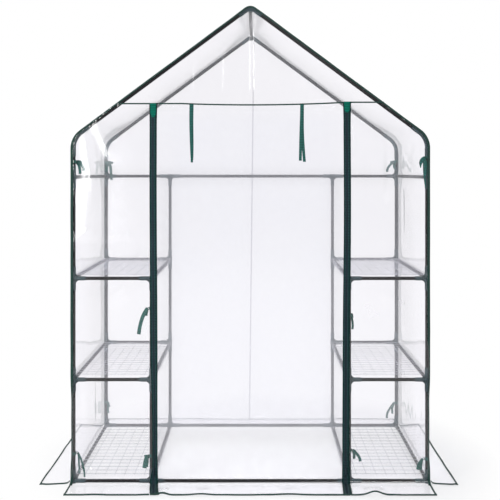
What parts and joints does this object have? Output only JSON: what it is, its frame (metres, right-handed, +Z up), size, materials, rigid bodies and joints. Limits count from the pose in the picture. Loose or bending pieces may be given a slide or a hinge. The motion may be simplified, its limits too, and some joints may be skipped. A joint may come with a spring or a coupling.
{
  "type": "walk-in greenhouse",
  "caption": "Walk-in greenhouse: gabled tube frame in plug-in connectors with wire shelves on both sides, under a clear film cover with a zipped roll-up door and ground skirts.",
  "frame": {"origin": "on the ground under the middle of the greenhouse", "axes": "+X to the right seen from the door, +Y from the door to the back, +Z up"},
  "size_m": [1.6552, 0.9472, 1.9177],
  "materials": {
    "frame_tube": "satin charcoal coating",
    "connector": "moulded slate green",
    "shelf_wire": "pale grey coated wire",
    "clear_film": "clear soft film",
    "edge_tape": "woven dark green tape",
    "zip": "coil zip on green tape",
    "tie_tape": "woven green tape"
  },
  "bodies": {
    "root": {"front_corner_posts": "frame_tube", "back_corner_posts": "frame_tube", "front_inner_posts": "frame_tube", "back_inner_posts": "frame_tube", "ground_rails": "frame_tube", "middle_rails": "frame_tube", "top_rails": "frame_tube", "upper_rails": "frame_tube", "rafters": "frame_tube", "ridge_tube": "frame_tube", "ground_connectors": "connector", "middle_connectors": "connector", "top_connectors": "connector", "upper_connectors": "connector", "eave_elbows": "connector", "ridge_connectors": "connector", "ground_left_shelf": "shelf_wire", "ground_right_shelf": "shelf_wire", "middle_left_shelf": "shelf_wire", "middle_right_shelf": "shelf_wire", "top_left_shelf": "shelf_wire", "top_right_shelf": "shelf_wire", "left_wall_film": "clear_film", "right_wall_film": "clear_film", "left_eave_film": "clear_film", "right_eave_film": "clear_film", "left_roof_film": "clear_film", "right_roof_film": "clear_film", "back_film": "clear_film", "front_left_film": "clear_film", "front_right_film": "clear_film", "door_film": "clear_film", "front_gable_film": "clear_film", "front_skirt": "clear_film", "back_skirt": "clear_film", "left_skirt": "clear_film", "right_skirt": "clear_film", "front_edge_tape": "edge_tape", "back_edge_tape": "edge_tape", "gable_seam_tape": "edge_tape", "skirt_tape": "edge_tape", "left_zip": "zip", "right_zip": "zip", "door_ties": "tie_tape", "post_ties": "tie_tape"}
  },
  "joints": []
}
